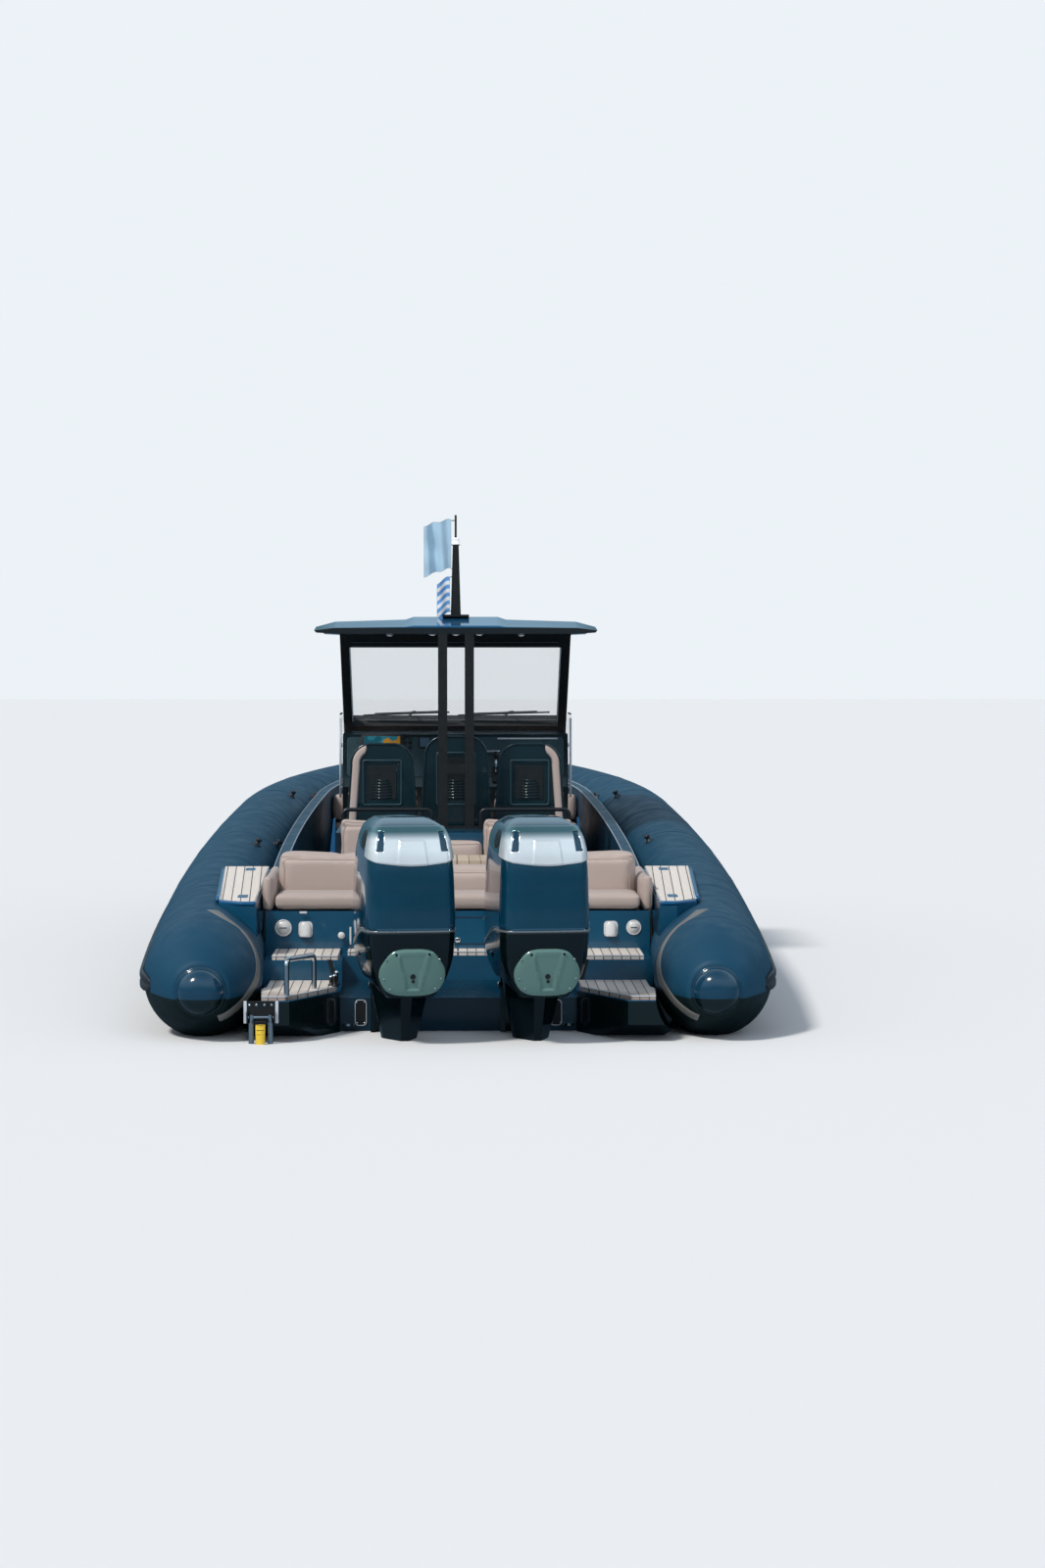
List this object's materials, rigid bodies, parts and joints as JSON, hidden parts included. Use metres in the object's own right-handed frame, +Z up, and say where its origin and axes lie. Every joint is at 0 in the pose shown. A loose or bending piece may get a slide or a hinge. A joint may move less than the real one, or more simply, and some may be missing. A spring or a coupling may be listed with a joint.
{
  "type": "rigid inflatable boat with tilting outboard engines",
  "caption": "Open rigid inflatable boat with a deep vee hull, a rubber collar, a hard top over the helm and tilting, steering outboard engines with twin propellers.",
  "frame": {"origin": "on the waterline, where the engine transom's aft face crosses the centreline", "axes": "+X to starboard, +Y to the bow, +Z up"},
  "size_m": [3.5572, 11.6406, 3.91],
  "materials": {
    "collar": "matte",
    "strake": "satin",
    "hull_paint": "gloss",
    "deck_moulding": "gloss",
    "sole_moulding": "satin",
    "teak": "satin",
    "cushion": "satin",
    "seat_shell": "gloss",
    "black_paint": "satin",
    "glass": "gloss",
    "flag_cloth": "matte",
    "stainless": "polished",
    "engine_paint": "gloss",
    "engine_black": "gloss",
    "engine_silver": "metallic",
    "propeller_steel": "polished",
    "wheel_rim": "satin"
  },
  "bodies": {
    "boat": {"tube_port": "collar", "tube_starboard": "collar", "tube_bow": "collar", "rub_strake": "strake", "hull": "hull_paint", "platforms": "deck_moulding", "stern_moulding": "deck_moulding", "stern_teak": "teak", "deck_liner": "deck_moulding", "cockpit_sole": "teak", "stern_cushions": "cushion", "cockpit_table": "teak", "seat_module": "deck_moulding", "sofa_cushions": "cushion", "helm_seat_shells": "seat_shell", "helm_seat_pads": "cushion", "console": "deck_moulding", "windscreen_frame": "black_paint", "windscreen_glass": "glass", "roof": "deck_moulding", "roof_posts": "black_paint", "mast": "black_paint", "flags": "flag_cloth", "deck_fittings": "stainless", "ladder_bracket": "stainless", "bow_moulding": "deck_moulding", "bow_cushions": "cushion", "towing_eyes": "stainless", "clamp_bracket_port": "engine_black", "clamp_bracket_starboard": "engine_black"},
    "helm": {"helm_wheel": "wheel_rim"},
    "bracket_port": {"swivel_bracket_port": "engine_black"},
    "engine_port": {"leg_port": "engine_black", "cowl_lower_port": "engine_black", "cowl_upper_port": "engine_paint", "cowl_cap_port": "engine_silver", "rear_cover_port": "engine_silver"},
    "propeller_fore_port": {"propeller_fore_port": "propeller_steel"},
    "propeller_aft_port": {"propeller_aft_port": "propeller_steel"},
    "bracket_starboard": {"swivel_bracket_starboard": "engine_black"},
    "engine_starboard": {"leg_starboard": "engine_black", "cowl_lower_starboard": "engine_black", "cowl_upper_starboard": "engine_paint", "cowl_cap_starboard": "engine_silver", "rear_cover_starboard": "engine_silver"},
    "propeller_fore_starboard": {"propeller_fore_starboard": "propeller_steel"},
    "propeller_aft_starboard": {"propeller_aft_starboard": "propeller_steel"},
    "ladder": {"boarding_ladder": "stainless"},
    "locker_lid": {"anchor_locker_lid": "deck_moulding"}
  },
  "joints": [
    {"name": "helm_turn", "type": "hinge", "parent": "boat", "child": "helm", "pos_m": [0, 5.43995, 1.30104], "axis": [0, 0.9406, -0.3396], "range_deg": [-1170, 630]},
    {"name": "tilt_port", "type": "hinge", "parent": "boat", "child": "bracket_port", "pos_m": [-0.35, 0, 0.25], "axis": [-1, 0, 0], "range_deg": [0, 65]},
    {"name": "steer_port", "type": "hinge", "parent": "bracket_port", "child": "engine_port", "pos_m": [-0.35, -0.12, 0], "axis": [0, 0, 1], "range_deg": [-39, 21]},
    {"name": "spin_fore_port", "type": "hinge", "parent": "engine_port", "child": "propeller_fore_port", "pos_m": [-0.35, -0.12, -0.652], "axis": [-0.1564, 0.9877, 0], "continuous": true},
    {"name": "spin_aft_port", "type": "hinge", "parent": "engine_port", "child": "propeller_aft_port", "pos_m": [-0.35, -0.12, -0.652], "axis": [-0.1564, 0.9877, 0], "continuous": true},
    {"name": "tilt_starboard", "type": "hinge", "parent": "boat", "child": "bracket_starboard", "pos_m": [0.35, 0, 0.25], "axis": [-1, 0, 0], "range_deg": [0, 65]},
    {"name": "steer_starboard", "type": "hinge", "parent": "bracket_starboard", "child": "engine_starboard", "pos_m": [0.35, -0.12, 0], "axis": [0, 0, 1], "range_deg": [-39, 21]},
    {"name": "spin_fore_starboard", "type": "hinge", "parent": "engine_starboard", "child": "propeller_fore_starboard", "pos_m": [0.35, -0.12, -0.652], "axis": [-0.1564, 0.9877, 0], "continuous": true},
    {"name": "spin_aft_starboard", "type": "hinge", "parent": "engine_starboard", "child": "propeller_aft_starboard", "pos_m": [0.35, -0.12, -0.652], "axis": [-0.1564, 0.9877, 0], "continuous": true},
    {"name": "ladder_swing", "type": "hinge", "parent": "boat", "child": "ladder", "pos_m": [-1.037, -0.6336, 0.138], "axis": [-1, 0, 0], "range_deg": [0, 90]},
    {"name": "locker_lid_hinge", "type": "hinge", "parent": "boat", "child": "locker_lid", "pos_m": [0, 9.752, 1.013], "axis": [-1, 0, 0], "range_deg": [0, 90]}
  ],
  "couplings": [
    {"joint": "spin_aft_port", "follows": "spin_fore_port", "ratio": -1},
    {"joint": "steer_starboard", "follows": "steer_port", "ratio": 1},
    {"joint": "helm_turn", "follows": "steer_port", "ratio": 30},
    {"joint": "spin_aft_starboard", "follows": "spin_fore_starboard", "ratio": -1}
  ]
}
